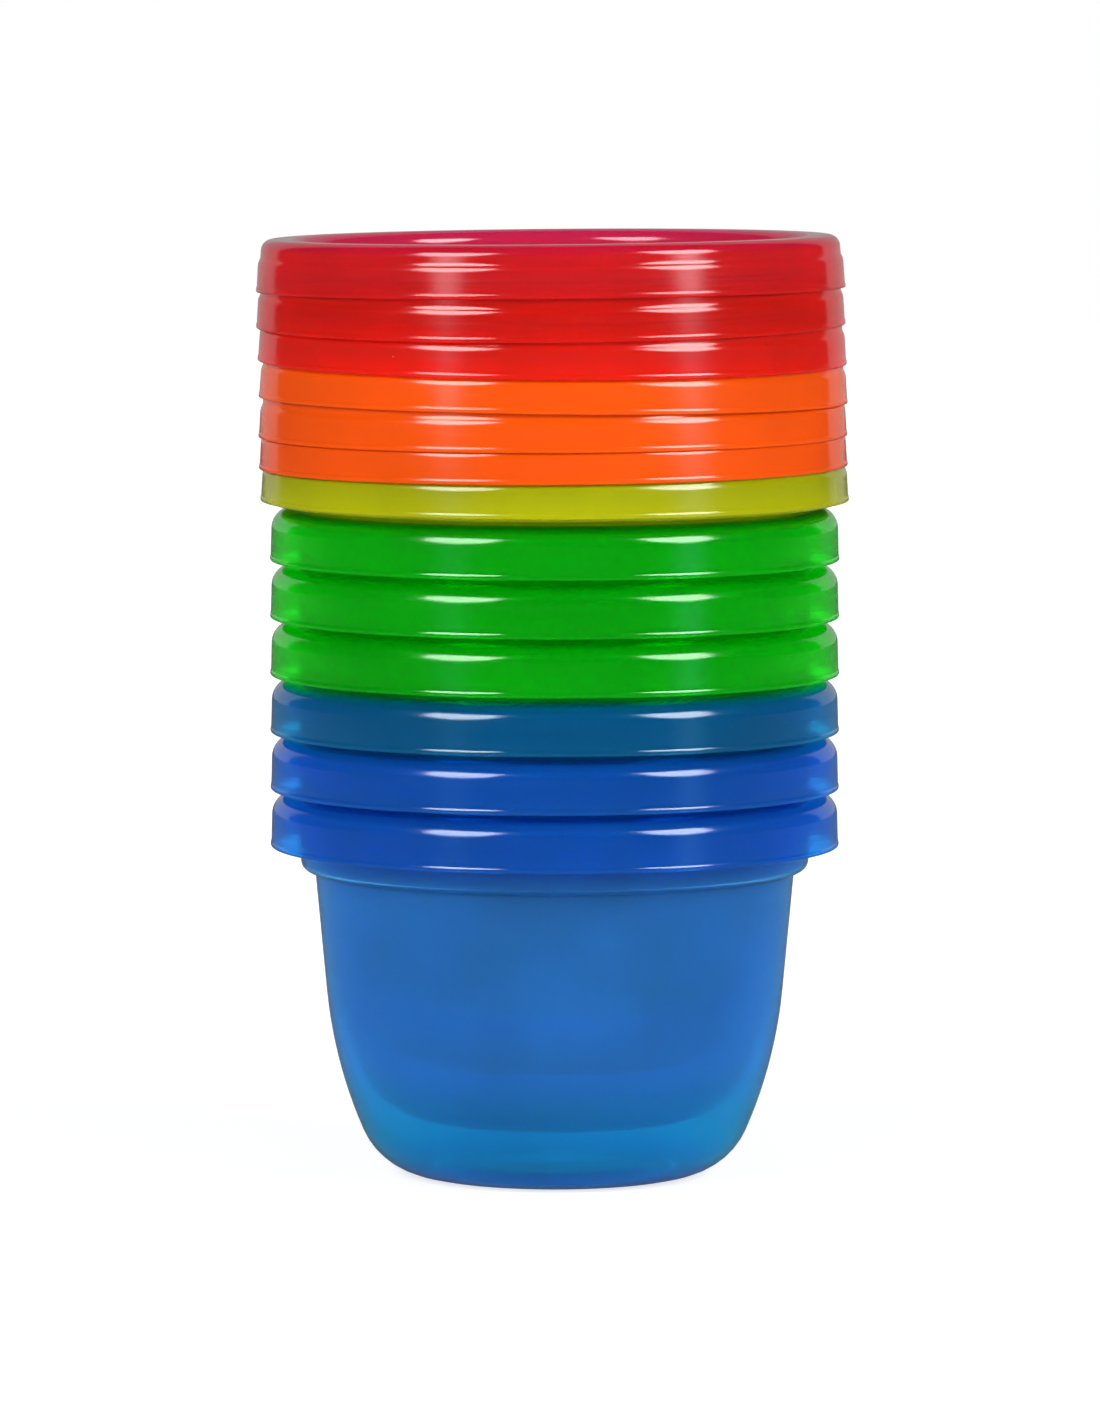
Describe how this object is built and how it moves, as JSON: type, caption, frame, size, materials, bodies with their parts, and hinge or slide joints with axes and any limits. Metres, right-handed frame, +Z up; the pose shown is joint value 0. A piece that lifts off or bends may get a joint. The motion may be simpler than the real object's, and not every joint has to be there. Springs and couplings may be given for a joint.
{
  "type": "stack of nesting bowls with lids",
  "caption": "Stack of thin translucent nesting bowls, rim over rim, the top one closed by its lid and carrying a pile of loosely perched lids; each piece lifts off.",
  "frame": {"origin": "centre of the lowest bowl's foot ring, on the surface that the stack stands on", "axes": "+Z up the stack, -Y towards the viewer of the picture, +X to the right"},
  "size_m": [0.1135, 0.1128, 0.1812],
  "materials": {
    "blue_plastic": "translucent moulded polypropylene, satin gloss",
    "green_plastic": "translucent moulded polypropylene, satin gloss",
    "yellow_plastic": "translucent moulded polypropylene, satin gloss",
    "orange_plastic": "translucent moulded polypropylene, satin gloss",
    "red_plastic": "translucent moulded polypropylene, satin gloss"
  },
  "bodies": {
    "bowl_blue_1": {"bowl_blue_1": "blue_plastic"},
    "bowl_blue_2": {"bowl_blue_2": "blue_plastic"},
    "bowl_blue_3": {"bowl_blue_3": "blue_plastic"},
    "bowl_green_1": {"bowl_green_1": "green_plastic"},
    "bowl_green_2": {"bowl_green_2": "green_plastic"},
    "bowl_green_3": {"bowl_green_3": "green_plastic"},
    "bowl_yellow": {"bowl_yellow": "yellow_plastic"},
    "lid_yellow": {"lid_yellow": "yellow_plastic"},
    "lid_orange_1": {"lid_orange_1": "orange_plastic"},
    "lid_orange_2": {"lid_orange_2": "orange_plastic"},
    "lid_orange_3": {"lid_orange_3": "orange_plastic"},
    "lid_red_1": {"lid_red_1": "red_plastic"},
    "lid_red_2": {"lid_red_2": "red_plastic"},
    "lid_red_3": {"lid_red_3": "red_plastic"}
  },
  "joints": [
    {"name": "lift_bowl_blue_2", "type": "slide", "parent": "bowl_blue_1", "child": "bowl_blue_2", "axis": [0, 0, 1], "range_m": [0, 0.07]},
    {"name": "lift_bowl_blue_3", "type": "slide", "parent": "bowl_blue_2", "child": "bowl_blue_3", "axis": [0, 0, 1], "range_m": [0, 0.07]},
    {"name": "lift_bowl_green_1", "type": "slide", "parent": "bowl_blue_3", "child": "bowl_green_1", "axis": [0, 0, 1], "range_m": [0, 0.07]},
    {"name": "lift_bowl_green_2", "type": "slide", "parent": "bowl_green_1", "child": "bowl_green_2", "axis": [0, 0, 1], "range_m": [0, 0.07]},
    {"name": "lift_bowl_green_3", "type": "slide", "parent": "bowl_green_2", "child": "bowl_green_3", "axis": [0, 0, 1], "range_m": [0, 0.07]},
    {"name": "lift_bowl_yellow", "type": "slide", "parent": "bowl_green_3", "child": "bowl_yellow", "axis": [0, 0, 1], "range_m": [0, 0.07]},
    {"name": "lift_lid_yellow", "type": "slide", "parent": "bowl_yellow", "child": "lid_yellow", "axis": [0, 0, 1], "range_m": [0, 0.015]},
    {"name": "lift_lid_orange_1", "type": "slide", "parent": "lid_yellow", "child": "lid_orange_1", "axis": [0, 0, 1], "range_m": [0, 0.015]},
    {"name": "lift_lid_orange_2", "type": "slide", "parent": "lid_orange_1", "child": "lid_orange_2", "axis": [0, 0, 1], "range_m": [0, 0.015]},
    {"name": "lift_lid_orange_3", "type": "slide", "parent": "lid_orange_2", "child": "lid_orange_3", "axis": [0, 0, 1], "range_m": [0, 0.015]},
    {"name": "lift_lid_red_1", "type": "slide", "parent": "lid_orange_3", "child": "lid_red_1", "axis": [0, 0, 1], "range_m": [0, 0.015]},
    {"name": "lift_lid_red_2", "type": "slide", "parent": "lid_red_1", "child": "lid_red_2", "axis": [0, 0, 1], "range_m": [0, 0.015]},
    {"name": "lift_lid_red_3", "type": "slide", "parent": "lid_red_2", "child": "lid_red_3", "axis": [0, 0, 1], "range_m": [0, 0.015]}
  ]
}
